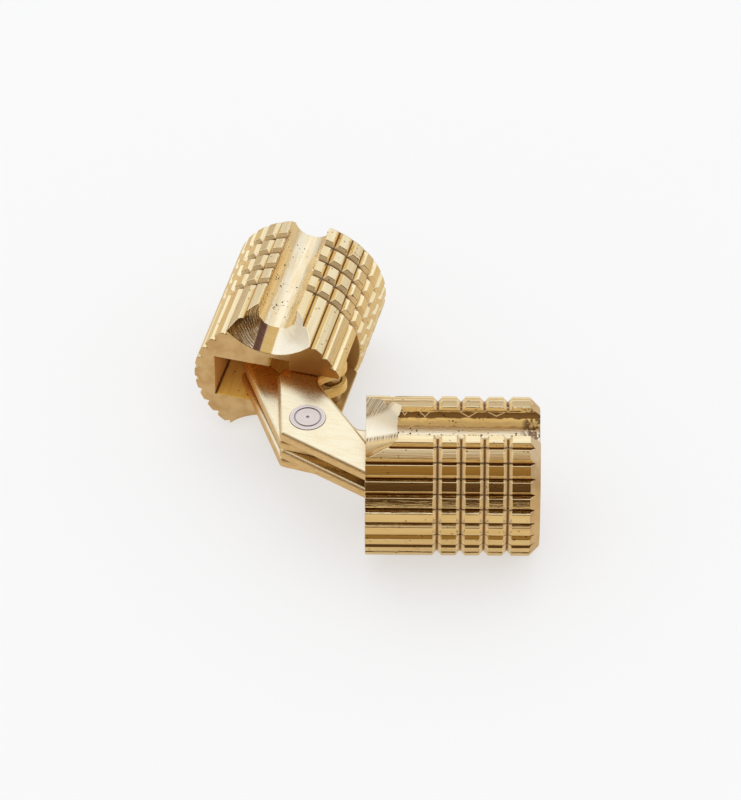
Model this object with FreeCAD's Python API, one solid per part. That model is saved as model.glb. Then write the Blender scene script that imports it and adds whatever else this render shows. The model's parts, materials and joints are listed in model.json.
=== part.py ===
"""Invisible barrel hinge: two fluted brass barrels joined by four hooked plates and a rivet.

The frame is that of barrel A: the origin is the centre of its front face, +Y runs into the barrel
along its axis, +X points to the flank where the hinge opens and +Z is along the pivots.
Millimetres and degrees.
"""
import FreeCAD, Part
import math
import os

Vec = FreeCAD.Vector

# Barrel body
BARREL_DIAMETER = 14.0
BARREL_LENGTH = 15.3
REAR_CHAMFER = 0.9

# Flutes along the barrel and ring grooves around it
FLUTE_COUNT = 30
FLUTE_DEPTH = 0.42
FLUTE_SHARE = 0.41
FLUTE_TURN = 5.3
RING_COUNT = 4
RING_FIRST = 6.3
RING_PITCH = 2.05
RING_WIDTH = 0.80
RING_DEPTH = 0.46

# Screw grooves at the top and bottom of the barrel, each with a slanted countersink
GROOVE_RADIUS = 1.75
GROOVE_DEPTH = 2.5
SINK_DEPTH = 2.2
SINK_REACH = 4.3
SINK_TILT = 33.0
SINK_HALF_ANGLE = 45.0

# Slot for the plates: a wide mouth that is open at one flank, and a pocket for the tails
SLOT_CLEARANCE = 0.12
SLOT_WALL_INSET = 1.9
MOUTH_DEPTH = 6.4
POCKET_DEPTH = 12.4
POCKET_SIDE_INSET = 5.4
POCKET_CORNER = 1.5

# Milled notch in the roof of the slot, at the front face
NOTCH_CENTRE_X = 0.95
NOTCH_WIDTH = 1.9
NOTCH_COVER = 1.1
NOTCH_DEPTH = 2.0

# Pivot pin in the barrel
PIVOT_INSET = 1.8
PIVOT_Y = 2.3
PIN_DIAMETER = 1.6
PIN_HOLD = 0.7

# Place of the rivet in front of the face, and the opening angle between the barrels as stored
RIVET_SHIFT = -0.2
RIVET_Y = -5.2
OPENING_ANGLE = 104.2

# Hooked plates: alternate ones in the stack are turned over
PLATE_THICKNESS = 1.06
PLATE_GAP = 0.04
HOOK_RADIUS = 1.35
ELBOW_BACK_X = 2.9
ELBOW_BACK_Y = 2.8
OUTER_CORNER = 3.1
OUTER_CORNER_RADIUS = 0.6
INNER_CORNER_RADIUS = 0.8
TAIL_LENGTH = 10.4
TAIL_OFFSET = 1.15
TAIL_RADIUS = 0.55

# Rivet with flush heads
RIVET_DIAMETER = 2.3
HEAD_DIAMETER = 3.2
HEAD_PROUD = 0.03
RING_MARK_RADIUS = 1.15
RING_MARK_WIDTH = 0.14
CENTRE_MARK_RADIUS = 0.16
MARK_DEPTH = 0.06
RUNNING_CLEARANCE = 0.03

# Fixed by the arrangement: two plates for each barrel
PLATE_COUNT = 4

# Worked out from the sizes above
BARREL_RADIUS = BARREL_DIAMETER / 2
GROOVE_FLOOR = BARREL_RADIUS - GROOVE_DEPTH
SINK_APEX = BARREL_RADIUS - SINK_DEPTH
SLOT_WALL_X = BARREL_RADIUS - SLOT_WALL_INSET
POCKET_SIDE_X = BARREL_RADIUS - POCKET_SIDE_INSET
NOTCH_ROOF = GROOVE_FLOOR - NOTCH_COVER
PLATE_PITCH = PLATE_THICKNESS + PLATE_GAP
STACK_HEIGHT = PLATE_COUNT * PLATE_THICKNESS + (PLATE_COUNT - 1) * PLATE_GAP
SLOT_HEIGHT = STACK_HEIGHT + 2 * SLOT_CLEARANCE
PIN_END = SLOT_HEIGHT / 2 + PIN_HOLD
HALF_TURN = 180.0
SHORTEST_EDGE = 1e-4
AXIS_Y = Vec(0, 1, 0)
AXIS_Z = Vec(0, 0, 1)
PIVOT = Vec(BARREL_RADIUS - PIVOT_INSET, PIVOT_Y, 0)
RIVET = Vec(PIVOT.x + RIVET_SHIFT, RIVET_Y, 0)
ELBOW = PIVOT - Vec(ELBOW_BACK_X, ELBOW_BACK_Y, 0)
FOLD_ANGLE = math.radians(OPENING_ANGLE / 2)
FOLD_LINE = Vec(math.cos(FOLD_ANGLE), math.sin(FOLD_ANGLE), 0)
ACROSS_FOLD = Vec(-FOLD_LINE.y, FOLD_LINE.x, 0)


def on_circle(radius, degrees, y):
    """Point on a circle round the barrel's axis, counted from the top."""
    turn = math.radians(degrees)
    return Vec(radius * math.sin(turn), y, radius * math.cos(turn))


def left_of(direction):
    """Unit vector to the left of a direction in the plan."""
    return Vec(-direction.y, direction.x, 0)


def crossing(point_a, along_a, point_b, along_b):
    """Point where two lines in the plan cross."""
    gap = point_b - point_a
    share = (gap.x * along_b.y - gap.y * along_b.x) / (along_a.x * along_b.y - along_a.y * along_b.x)
    return point_a + along_a * share


def tangent_touch(point, centre, radius):
    """Where the left-hand tangent from a point touches a circle in the plan."""
    reach = centre - point
    lean = math.asin(radius / reach.Length)
    length = math.sqrt(reach.Length ** 2 - radius ** 2)
    heading = math.atan2(reach.y, reach.x) + lean
    return point + Vec(math.cos(heading), math.sin(heading), 0) * length


def rounded_outline(corners):
    """Closed wire through corners, each given with the radius that rounds it."""
    count = len(corners)
    starts, ends, middles = [], [], []
    for index, (corner, radius) in enumerate(corners):
        back = (corners[index - 1][0] - corner).normalize()
        ahead = (corners[(index + 1) % count][0] - corner).normalize()
        half = back.getAngle(ahead) / 2
        bisector = (back + ahead).normalize()
        trim = radius / math.tan(half)
        starts.append(corner + back * trim)
        ends.append(corner + ahead * trim)
        middles.append(corner + bisector * (radius / math.sin(half) - radius))
    edges = []
    for index in range(count):
        if corners[index][1] > 0:
            edges.append(Part.Arc(starts[index], middles[index], ends[index]).toShape())
        following = starts[(index + 1) % count]
        if (following - ends[index]).Length > SHORTEST_EDGE:
            edges.append(Part.LineSegment(ends[index], following).toShape())
    return Part.Wire(edges)


def prism(wire, low, height):
    """Solid over a flat outline, from a height in Z upwards."""
    solid = Part.Face(wire).extrude(Vec(0, 0, height))
    solid.translate(Vec(0, 0, low))
    return solid


def fluted_blank():
    """Bar with flat-topped ridges and V-shaped valleys along it."""
    pitch = 360.0 / FLUTE_COUNT
    half_land = pitch * (1 - FLUTE_SHARE) / 2
    edges = []
    for index in range(FLUTE_COUNT):
        middle = FLUTE_TURN + index * pitch
        land = [on_circle(BARREL_RADIUS, middle + turn, 0) for turn in (-half_land, 0, half_land)]
        valley = on_circle(BARREL_RADIUS - FLUTE_DEPTH, middle + pitch / 2, 0)
        following = on_circle(BARREL_RADIUS, middle + pitch - half_land, 0)
        edges.append(Part.Arc(*land).toShape())
        edges.append(Part.LineSegment(land[2], valley).toShape())
        edges.append(Part.LineSegment(valley, following).toShape())
    return Part.Face(Part.Wire(edges)).extrude(AXIS_Y * BARREL_LENGTH)


def turned_cutter(points):
    """Ring that a turning tool takes off, from (radius, depth) points of its section."""
    section = [Vec(radius, y, 0) for radius, y in points]
    face = Part.Face(Part.makePolygon(section + section[:1]))
    return face.revolve(Vec(0, 0, 0), AXIS_Y, 360)


def ring_groove(y):
    """V-shaped groove round the barrel."""
    slope = RING_WIDTH / 2 / RING_DEPTH
    over = FLUTE_DEPTH
    wide = RING_WIDTH / 2 + over * slope
    root = BARREL_RADIUS - RING_DEPTH
    crest = BARREL_RADIUS + over
    return turned_cutter([(root, y), (crest, y + wide), (crest, y - wide)])


def rear_chamfer():
    """Ring taken off the rear rim."""
    over = REAR_CHAMFER
    rim = BARREL_RADIUS + over
    rear = BARREL_LENGTH
    low = BARREL_RADIUS - REAR_CHAMFER
    return turned_cutter([(low, rear), (low, rear + over), (rim, rear + over),
                          (rim, rear - REAR_CHAMFER - over)])


def screw_groove():
    """Round-bottomed groove along the top of the barrel, with the countersink at its front end."""
    centre = GROOVE_FLOOR + GROOVE_RADIUS
    groove = Part.makeCylinder(GROOVE_RADIUS, BARREL_LENGTH, Vec(0, 0, centre), AXIS_Y)
    rise = BARREL_RADIUS
    walls = Part.makeBox(2 * GROOVE_RADIUS, BARREL_LENGTH, rise, Vec(-GROOVE_RADIUS, 0, centre))
    tilt = math.radians(SINK_TILT)
    height = BARREL_RADIUS + SINK_REACH
    spread = height * math.tan(math.radians(SINK_HALF_ANGLE))
    way_out = Vec(0, -math.cos(tilt), math.sin(tilt))
    sink = Part.makeCone(0, spread, height, Vec(0, SINK_REACH, SINK_APEX), way_out)
    return groove.fuse([walls, sink])


def slot_cutter():
    """Mouth, pocket and roof notch that the plates move in."""
    outside = BARREL_DIAMETER
    corners = [(Vec(-SLOT_WALL_X, -outside, 0), 0), (Vec(outside, -outside, 0), 0),
               (Vec(outside, MOUTH_DEPTH, 0), 0), (Vec(POCKET_SIDE_X, MOUTH_DEPTH, 0), 0),
               (Vec(POCKET_SIDE_X, POCKET_DEPTH, 0), POCKET_CORNER),
               (Vec(-SLOT_WALL_X, POCKET_DEPTH, 0), POCKET_CORNER)]
    slot = prism(rounded_outline(corners), -SLOT_HEIGHT / 2, SLOT_HEIGHT)
    notch_low = Vec(NOTCH_CENTRE_X - NOTCH_WIDTH / 2, -NOTCH_DEPTH, 0)
    notch = Part.makeBox(NOTCH_WIDTH, 2 * NOTCH_DEPTH, NOTCH_ROOF, notch_low)
    return slot.fuse(notch)


def pin_cylinder(low, high):
    """Upright cylinder on the pivot."""
    foot = PIVOT + AXIS_Z * low
    return Part.makeCylinder(PIN_DIAMETER / 2, high - low, foot, AXIS_Z)


def make_barrel():
    """Barrel A, from bar to finished piece."""
    rings = [ring_groove(RING_FIRST + index * RING_PITCH) for index in range(RING_COUNT)]
    upper = screw_groove()
    lower = upper.copy()
    lower.rotate(Vec(0, 0, 0), AXIS_Y, HALF_TURN)
    pin_hole = pin_cylinder(-BARREL_DIAMETER, PIN_END)
    cutters = rings + [rear_chamfer(), upper, lower, slot_cutter(), pin_hole]
    barrel = fluted_blank()
    for cutter in cutters:
        barrel = barrel.cut(cutter)
    return barrel


def plate_outline():
    """Outline of a hooked plate: outer corner, elbow, hook round the pivot, inner corner and tail."""
    hook = (PIVOT - ELBOW).normalize()
    side = left_of(hook) * HOOK_RADIUS
    tail_middle = RIVET + FOLD_LINE * TAIL_OFFSET - ACROSS_FOLD * TAIL_LENGTH
    tail = (tail_middle - RIVET).normalize()
    tail_side = left_of(tail) * TAIL_RADIUS
    tail_end = tail_middle + tail * TAIL_RADIUS
    outer = RIVET - FOLD_LINE * OUTER_CORNER
    touch = tangent_touch(outer, ELBOW, HOOK_RADIUS)
    elbow = crossing(outer, touch - outer, PIVOT + side, hook)
    hook_end = PIVOT + hook * HOOK_RADIUS
    inner_side = tail_end + tail_side
    inner_edge = RIVET + FOLD_LINE * OUTER_CORNER - inner_side
    inner = crossing(inner_side, inner_edge, PIVOT - side, hook)
    return rounded_outline([
        (outer, OUTER_CORNER_RADIUS), (elbow, HOOK_RADIUS), (hook_end + side, HOOK_RADIUS),
        (hook_end - side, HOOK_RADIUS), (inner, INNER_CORNER_RADIUS),
        (inner_side, TAIL_RADIUS), (tail_end - tail_side, TAIL_RADIUS)])


def rivet_blank(clearance):
    """Shank with a countersunk head at each end, grown by a clearance."""
    shank = RIVET_DIAMETER / 2 + clearance
    head = HEAD_DIAMETER / 2 + clearance
    half = STACK_HEIGHT / 2 + HEAD_PROUD
    cone = (HEAD_DIAMETER - RIVET_DIAMETER) / 2
    section = [Vec(0, 0, -half), Vec(head, 0, -half), Vec(head, 0, HEAD_PROUD - half),
               Vec(shank, 0, HEAD_PROUD + cone - half), Vec(shank, 0, half - HEAD_PROUD - cone),
               Vec(head, 0, half - HEAD_PROUD), Vec(head, 0, half), Vec(0, 0, half)]
    blank = Part.Face(Part.makePolygon(section + section[:1])).revolve(Vec(0, 0, 0), AXIS_Z, 360)
    blank.translate(RIVET)
    return blank


def make_plate(level):
    """Plate of barrel A's pair, with its lower face at a height in the stack."""
    pin_hole = Part.makeCylinder(PIN_DIAMETER / 2 + RUNNING_CLEARANCE, BARREL_DIAMETER,
                                 PIVOT - AXIS_Z * BARREL_RADIUS, AXIS_Z)
    plate = prism(plate_outline(), level, PLATE_THICKNESS)
    return plate.cut(pin_hole).cut(rivet_blank(RUNNING_CLEARANCE))


def make_rivet():
    """Rivet with a ring mark and a centre mark on each head."""
    rivet = rivet_blank(0)
    top = STACK_HEIGHT / 2 + HEAD_PROUD
    ring_out = RING_MARK_RADIUS + RING_MARK_WIDTH / 2
    ring_in = RING_MARK_RADIUS - RING_MARK_WIDTH / 2
    for low in (top - MARK_DEPTH, -top):
        foot = RIVET + AXIS_Z * low
        ring = Part.makeCylinder(ring_out, MARK_DEPTH, foot, AXIS_Z)
        ring = ring.cut(Part.makeCylinder(ring_in, MARK_DEPTH, foot, AXIS_Z))
        rivet = rivet.cut(ring)
        rivet = rivet.cut(Part.makeCylinder(CENTRE_MARK_RADIUS, MARK_DEPTH, foot, AXIS_Z))
    return rivet


def turned_over(shape):
    """Copy of a piece of barrel A's half, as it lies in barrel B's half."""
    copy = shape.copy()
    copy.rotate(RIVET, FOLD_LINE, HALF_TURN)
    return copy


def main():
    """Build the nine pieces and write one file for each."""
    low = -STACK_HEIGHT / 2
    barrel = make_barrel()
    pin = pin_cylinder(-PIN_END, PIN_END)
    upper = make_plate(low + (PLATE_COUNT - 1) * PLATE_PITCH)
    lower = make_plate(low + PLATE_PITCH)
    pieces = {
        "barrel_a": barrel,
        "barrel_b": turned_over(barrel),
        "pivot_pin_a": pin,
        "pivot_pin_b": turned_over(pin),
        "link_plate_1": upper,
        "link_plate_2": turned_over(lower),
        "link_plate_3": lower,
        "link_plate_4": turned_over(upper),
        "centre_rivet": make_rivet(),
    }
    os.makedirs("parts", exist_ok=True)
    for name, shape in pieces.items():
        shape.exportStep("parts/" + name + ".step")
        print(name, "valid" if shape.isValid() else "faulty", round(shape.Volume, 2), "mm3")


main()
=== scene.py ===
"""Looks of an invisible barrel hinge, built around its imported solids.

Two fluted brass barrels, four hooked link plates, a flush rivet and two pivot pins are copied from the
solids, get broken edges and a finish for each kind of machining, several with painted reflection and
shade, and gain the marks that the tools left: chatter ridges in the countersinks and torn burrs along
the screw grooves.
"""
from __future__ import annotations

import json
import logging
import math
from dataclasses import dataclass, field, replace
from enum import Enum
from typing import Callable

import bmesh
import bpy
from mathutils import Matrix, Vector

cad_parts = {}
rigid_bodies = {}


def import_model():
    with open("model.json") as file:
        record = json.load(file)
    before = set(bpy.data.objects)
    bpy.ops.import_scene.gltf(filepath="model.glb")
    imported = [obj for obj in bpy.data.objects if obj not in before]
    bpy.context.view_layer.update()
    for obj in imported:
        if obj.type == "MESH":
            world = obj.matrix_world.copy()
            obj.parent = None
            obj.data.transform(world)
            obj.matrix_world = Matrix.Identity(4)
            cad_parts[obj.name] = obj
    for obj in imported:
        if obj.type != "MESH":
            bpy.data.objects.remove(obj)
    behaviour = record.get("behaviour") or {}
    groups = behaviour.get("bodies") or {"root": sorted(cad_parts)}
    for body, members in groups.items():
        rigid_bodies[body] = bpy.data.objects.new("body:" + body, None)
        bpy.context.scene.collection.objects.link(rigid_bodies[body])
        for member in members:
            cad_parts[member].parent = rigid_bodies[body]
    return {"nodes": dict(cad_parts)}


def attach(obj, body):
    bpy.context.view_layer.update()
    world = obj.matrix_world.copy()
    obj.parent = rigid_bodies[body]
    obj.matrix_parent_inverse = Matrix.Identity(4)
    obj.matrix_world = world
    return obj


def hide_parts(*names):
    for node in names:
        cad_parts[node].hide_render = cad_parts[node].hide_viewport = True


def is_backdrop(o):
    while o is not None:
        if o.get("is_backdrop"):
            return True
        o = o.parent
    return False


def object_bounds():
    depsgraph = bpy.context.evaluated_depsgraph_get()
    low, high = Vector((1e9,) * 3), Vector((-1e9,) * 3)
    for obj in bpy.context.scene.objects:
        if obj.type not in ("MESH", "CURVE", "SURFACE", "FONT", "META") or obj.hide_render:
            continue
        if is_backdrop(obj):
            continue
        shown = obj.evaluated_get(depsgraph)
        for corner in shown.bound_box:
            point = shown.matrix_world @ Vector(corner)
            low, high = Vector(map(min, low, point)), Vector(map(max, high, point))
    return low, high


LOG = logging.getLogger("hinge")
MM = 0.001
LOCAL = "barrel_mm"
FAR = 9.0
Colour = tuple[float, float, float]
Point = tuple[float, float, float]
Band = tuple[float, float]
Socket = bpy.types.NodeSocket
RIVET: Point = (5.0, -5.2, 0.0)
IN_PLAN: Point = (1.0, 1.0, 0.0)


class Half(Enum):
    """The two halves of the hinge."""

    A = "a"
    B = "b"


class Skin(Enum):
    """The kinds of machined surface on a barrel."""

    RIDGED = 0
    FACED = 1
    SUNK = 2
    MILLED = 3
    SLOT = 4
    CHAMFER = 5


class Cut(Enum):
    """The two kinds of surface on a punched plate."""

    ROLLED = 0
    SHEARED = 1


@dataclass(frozen=True)
class Fold:
    """Where the hinge folds: the rivet's place and half the opening angle between the barrels."""

    rivet: Point = RIVET
    half_angle: float = math.radians(52.1)

    def placing(self, half: Half) -> Matrix:
        """Matrix that takes a half's own millimetres to the row frame's metres.

        Args:
            half: barrel A's half, or barrel B's, which lies turned over about the fold line.

        Returns:
            The placing matrix.
        """
        scale = Matrix.Scale(MM, 4)
        if half is Half.A:
            return scale
        centre = Matrix.Translation(self.rivet)
        line = Vector((math.cos(self.half_angle), math.sin(self.half_angle), 0.0))
        return scale @ centre @ Matrix.Rotation(math.pi, 4, line) @ centre.inverted()


class NodeBook:
    """Short hand for filling a node tree."""

    def __init__(self, tree: bpy.types.NodeTree) -> None:
        """Keep the tree to be filled."""
        self.tree = tree

    def add(self, kind: str, **values: object) -> bpy.types.Node:
        """Add a node and set its properties.

        Args:
            kind: the node's type name.
            values: properties of the node.

        Returns:
            The new node.
        """
        node = self.tree.nodes.new(kind)
        for name, value in values.items():
            setattr(node, name, value)
        return node

    def feed(self, socket: Socket, value: object) -> None:
        """Link a socket to another one, or set its value."""
        if isinstance(value, bpy.types.NodeSocket):
            self.tree.links.new(value, socket)
        else:
            socket.default_value = value

    def math(self, operation: str, *values: object) -> Socket:
        """Add a math node on one to three values and give its result."""
        node = self.add("ShaderNodeMath", operation=operation)
        for socket, value in zip(node.inputs, values):
            self.feed(socket, value)
        return node.outputs[0]

    def vector(self, operation: str, *values: object, output: str = "Vector") -> Socket:
        """Add a vector math node and give one of its results."""
        node = self.add("ShaderNodeVectorMath", operation=operation)
        for socket, value in zip(node.inputs, values):
            self.feed(socket, value)
        return node.outputs[output]

    def spread(self, value: Socket, low: float, high: float, to_low: float, to_high: float) -> Socket:
        """Map a range smoothly onto another.

        Args:
            value: the value to map.
            low: value that gives to_low.
            high: value that gives to_high.
            to_low: result at low.
            to_high: result at high.

        Returns:
            The mapped value.
        """
        node = self.add("ShaderNodeMapRange", interpolation_type="SMOOTHSTEP")
        for name, item in zip(("Value", "From Min", "From Max", "To Min", "To Max"),
                              (value, low, high, to_low, to_high)):
            self.feed(node.inputs[name], item)
        return node.outputs["Result"]

    def gap(self, first: object, second: object) -> Socket:
        """Distance between two values."""
        return self.math("ABSOLUTE", self.math("SUBTRACT", first, second))

    def length(self, first: Socket, second: Socket) -> Socket:
        """Length of the third side of a right-angled triangle."""
        return self.math("SQRT", self.math("ADD", self.math("MULTIPLY", first, first),
                                           self.math("MULTIPLY", second, second)))

    def split(self, vector: Socket) -> tuple[Socket, Socket, Socket]:
        """The three components of a vector."""
        node = self.add("ShaderNodeSeparateXYZ")
        self.feed(node.inputs[0], vector)
        return tuple(node.outputs)

    def join(self, x: object = 0.0, y: object = 0.0, z: object = 0.0) -> Socket:
        """A vector from its three components."""
        node = self.add("ShaderNodeCombineXYZ")
        for socket, value in zip(node.inputs, (x, y, z)):
            self.feed(socket, value)
        return node.outputs[0]

    def window(self, value: Socket, first: float, last: float, soft: float) -> Socket:
        """Share that is 1 between two limits and falls to 0 over a soft edge at each."""
        return self.math("MULTIPLY", self.spread(value, first - soft, first + soft, 0.0, 1.0),
                         self.spread(value, last - soft, last + soft, 1.0, 0.0))

    def mix(self, share: object, first: object, second: object) -> Socket:
        """Mix two colours by a share."""
        node = self.add("ShaderNodeMix", data_type="RGBA")
        self.feed(node.inputs["Factor"], share)
        for name, value in (("A", first), ("B", second)):
            socket = [item for item in node.inputs if item.name == name and item.type == "RGBA"][0]
            self.feed(socket, value if isinstance(value, bpy.types.NodeSocket) else (*value, 1.0))
        return [item for item in node.outputs if item.type == "RGBA"][0]

    def noise(self, vector: object, scale: float, detail: float = 3.0, rough: float = 0.55) -> Socket:
        """Add a noise texture and give its value."""
        node = self.add("ShaderNodeTexNoise")
        self.feed(node.inputs["Vector"], vector)
        for name, value in (("Scale", scale), ("Detail", detail), ("Roughness", rough)):
            node.inputs[name].default_value = value
        return node.outputs["Fac"]

    def group(self, tree: bpy.types.NodeTree, **values: object) -> bpy.types.Node:
        """Place a shader node group with its own values."""
        node = self.add("ShaderNodeGroup", node_tree=tree)
        for name, value in values.items():
            self.feed(node.inputs[name.replace("_", " ").title()], value)
        return node


def new_group(name: str, inputs: dict[str, str],
              outputs: dict[str, str]) -> tuple[NodeBook, bpy.types.NodeOutputs, bpy.types.NodeInputs]:
    """Start a shader node group.

    Args:
        name: name of the group.
        inputs: socket names to socket types.
        outputs: socket names to socket types.

    Returns:
        The book for its tree, its inputs' sockets and its outputs' sockets.
    """
    tree = bpy.data.node_groups.new(name, "ShaderNodeTree")
    for side, sockets in (("INPUT", inputs), ("OUTPUT", outputs)):
        for label, kind in sockets.items():
            tree.interface.new_socket(name=label, in_out=side, socket_type=kind)
    book = NodeBook(tree)
    return book, book.add("NodeGroupInput").outputs, book.add("NodeGroupOutput").inputs


class Effects:
    """Marks that several finishes share, each a shader node group."""

    def __init__(self) -> None:
        """Build the groups once."""
        self.streaks = self._streaks()
        self.pits = self._pits()
        self.rings = self._rings()

    @staticmethod
    def _streaks() -> bpy.types.NodeTree:
        """Long drawn lines: noise that is stretched along one direction."""
        book, taken, given = new_group(
            "Drawn Streaks", {"Place": "NodeSocketVector", "Stretch": "NodeSocketVector"},
            {"Streak": "NodeSocketFloat", "Fine": "NodeSocketFloat"})
        place = book.vector("MULTIPLY", taken["Place"], taken["Stretch"])
        book.feed(given["Streak"], book.noise(place, 1.0))
        book.feed(given["Fine"], book.noise(place, 4.5, detail=2.0))
        return book.tree

    @staticmethod
    def _pits() -> bpy.types.NodeTree:
        """Scattered small pits."""
        book, taken, given = new_group(
            "Pits", {"Place": "NodeSocketVector", "Density": "NodeSocketFloat", "Reach": "NodeSocketFloat"},
            {"Pit": "NodeSocketFloat"})
        cells = book.add("ShaderNodeTexVoronoi", feature="F1")
        book.feed(cells.inputs["Vector"], taken["Place"])
        book.feed(cells.inputs["Scale"], taken["Density"])
        near = book.math("DIVIDE", cells.outputs["Distance"], taken["Reach"])
        pit = book.spread(near, 0.55, 1.0, 1.0, 0.0)
        patch = book.spread(book.noise(taken["Place"], 0.8), 0.5, 0.62, 0.0, 1.0)
        book.feed(given["Pit"], book.math("MULTIPLY", pit, patch))
        return book.tree

    @staticmethod
    def _rings() -> bpy.types.NodeTree:
        """Tool marks round an axis: one set by the distance from it, one by the distance along it."""
        book, taken, given = new_group(
            "Tool Rings",
            {"Place": "NodeSocketVector", "Axis": "NodeSocketVector", "Pitch": "NodeSocketFloat"},
            {"Around": "NodeSocketFloat", "Along": "NodeSocketFloat"})
        along = book.vector("DOT_PRODUCT", taken["Place"], taken["Axis"], output="Value")
        on_axis = book.add("ShaderNodeVectorMath", operation="SCALE")
        book.feed(on_axis.inputs[0], taken["Axis"])
        book.feed(on_axis.inputs["Scale"], along)
        away = book.vector("SUBTRACT", taken["Place"], on_axis.outputs["Vector"])
        around = book.vector("LENGTH", away, output="Value")
        for label, distance in (("Around", around), ("Along", along)):
            turns = book.math("DIVIDE", distance, taken["Pitch"])
            lines = book.add("ShaderNodeTexNoise", noise_dimensions="1D")
            book.feed(lines.inputs["W"], turns)
            lines.inputs["Scale"].default_value = 1.0
            lines.inputs["Detail"].default_value = 2.0
            book.feed(given[label], lines.outputs["Fac"])
        return book.tree


@dataclass(frozen=True)
class Finish:
    """A metal finish: two tones and a range of roughness, with the marks of one way of machining.

    The colour goes from light to deep where the marks rise from the first value of grain to the second.
    """

    name: str
    light: Colour
    deep: Colour
    smooth: float
    coarse: float
    bump: float = 0.25
    bump_mm: float = 0.02
    metallic: float = 1.0
    grain: Band = (0.35, 0.70)
    grain_share: float = 1.0

    def start(self) -> tuple[bpy.types.Material, NodeBook, bpy.types.Node]:
        """Make the material with its metal shader.

        Returns:
            The material, the book for its tree and the shader node.
        """
        material = bpy.data.materials.new(self.name)
        material.use_nodes = True
        material.diffuse_color = (*self.light, 1.0)
        book = NodeBook(material.node_tree)
        shader = material.node_tree.nodes["Principled BSDF"]
        shader.inputs["Metallic"].default_value = self.metallic
        return material, book, shader

    def grain_tone(self, book: NodeBook, marks: Socket) -> Socket:
        """Colour before painted light and stains: light where the marks are low, deep where they are high.
        """
        return book.mix(book.spread(marks, *self.grain, 0.0, self.grain_share), self.light, self.deep)

    def close(self, book: NodeBook, shader: bpy.types.Node, rough: Socket, height: Socket) -> None:
        """Join a finish's roughness and relief to its shader.

        Args:
            book: the book of the material's tree.
            shader: the shader node.
            rough: share of the coarse roughness.
            height: relief from 0 to 1.
        """
        book.feed(shader.inputs["Roughness"], book.spread(rough, 0.0, 1.0, self.smooth, self.coarse))
        relief = book.add("ShaderNodeBump")
        relief.inputs["Strength"].default_value = self.bump
        relief.inputs["Distance"].default_value = self.bump_mm * MM
        book.feed(relief.inputs["Height"], height)
        book.feed(shader.inputs["Normal"], relief.outputs["Normal"])


def barrel_place(book: NodeBook) -> Socket:
    """Place on a barrel in its own millimetres, from the mesh's attribute."""
    return book.add("ShaderNodeAttribute", attribute_name=LOCAL).outputs["Vector"]


def object_place(book: NodeBook) -> Socket:
    """Place on a piece in millimetres, from its object coordinates."""
    node = book.add("ShaderNodeVectorMath", operation="SCALE")
    book.feed(node.inputs[0], book.add("ShaderNodeTexCoord").outputs["Object"])
    node.inputs["Scale"].default_value = 1.0 / MM
    return node.outputs["Vector"]


@dataclass(frozen=True)
class RidgedBrass(Finish):
    """Fluted outside of a barrel: drawn lines along it, painted shade in the roots of the valleys and ring
    grooves, painted light on the ring grooves' light, half matte flanks.
    """

    grain_share: float = 0.85
    stretch: Point = (2.6, 0.10, 2.6)
    pit_density: float = 2.2
    pit_reach: float = 0.30
    pit_share: float = 0.7
    pit_depth: float = 0.9
    # painted shade: dark tone in the roots of the flute valleys and ring grooves
    root_shade_tone: Colour = (0.30, 0.15, 0.05)
    root: Band = (6.60, 6.72)
    root_share: float = 0.9
    rim: Band = (6.93, 6.98)
    # painted light: a light, half matte tone on the ring grooves' flanks, so they read bright where the
    # metal would mirror dark
    flank_light_tone: Colour = (0.90, 0.70, 0.39)
    flank_metal: float = 0.5
    ring_first: float = 6.3
    ring_pitch: float = 2.05
    ring_half: Band = (0.34, 0.44)
    ring_zone: Band = (5.85, 12.95)
    zone_soft: float = 0.05
    fine_rough: float = 0.6
    shade_and_pit_rough: float = 0.4

    def material(self, effects: Effects) -> bpy.types.Material:
        """Make the material."""
        material, book, shader = self.start()
        place = barrel_place(book)
        drawn = book.group(effects.streaks, place=place, stretch=self.stretch).outputs
        pits = book.group(effects.pits, place=place, density=self.pit_density,
                          reach=self.pit_reach).outputs["Pit"]
        across, along, height = book.split(place)
        radius = book.length(across, height)
        from_first = book.math("SUBTRACT", along, self.ring_first)
        from_ring = book.math("PINGPONG", from_first, self.ring_pitch / 2)
        flank = book.math("MULTIPLY", book.spread(from_ring, *self.ring_half, 1.0, 0.0),
                          book.window(along, *self.ring_zone, self.zone_soft))
        flank = book.math("MULTIPLY", flank, book.spread(radius, *self.rim, 1.0, 0.0))
        # painted shade in the roots, together with the real pits
        painted_light_and_marks = book.math("MAXIMUM", book.spread(radius, *self.root, self.root_share, 0.0),
                          book.math("MULTIPLY", pits, self.pit_share))
        rough = book.math("ADD", book.math("MULTIPLY", drawn["Fine"], self.fine_rough),
                          book.math("MULTIPLY", painted_light_and_marks, self.shade_and_pit_rough))
        relief = book.math("SUBTRACT", drawn["Fine"], book.math("MULTIPLY", pits, self.pit_depth))
        self.close(book, shader, rough, relief)
        # painted light on the ring grooves' flanks
        base = book.mix(flank, self.grain_tone(book, drawn["Streak"]), self.flank_light_tone)
        book.feed(shader.inputs["Base Color"], book.mix(painted_light_and_marks, base, self.root_shade_tone))
        book.feed(shader.inputs["Metallic"], book.spread(flank, 0.0, 1.0, self.metallic, self.flank_metal))
        return material


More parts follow.
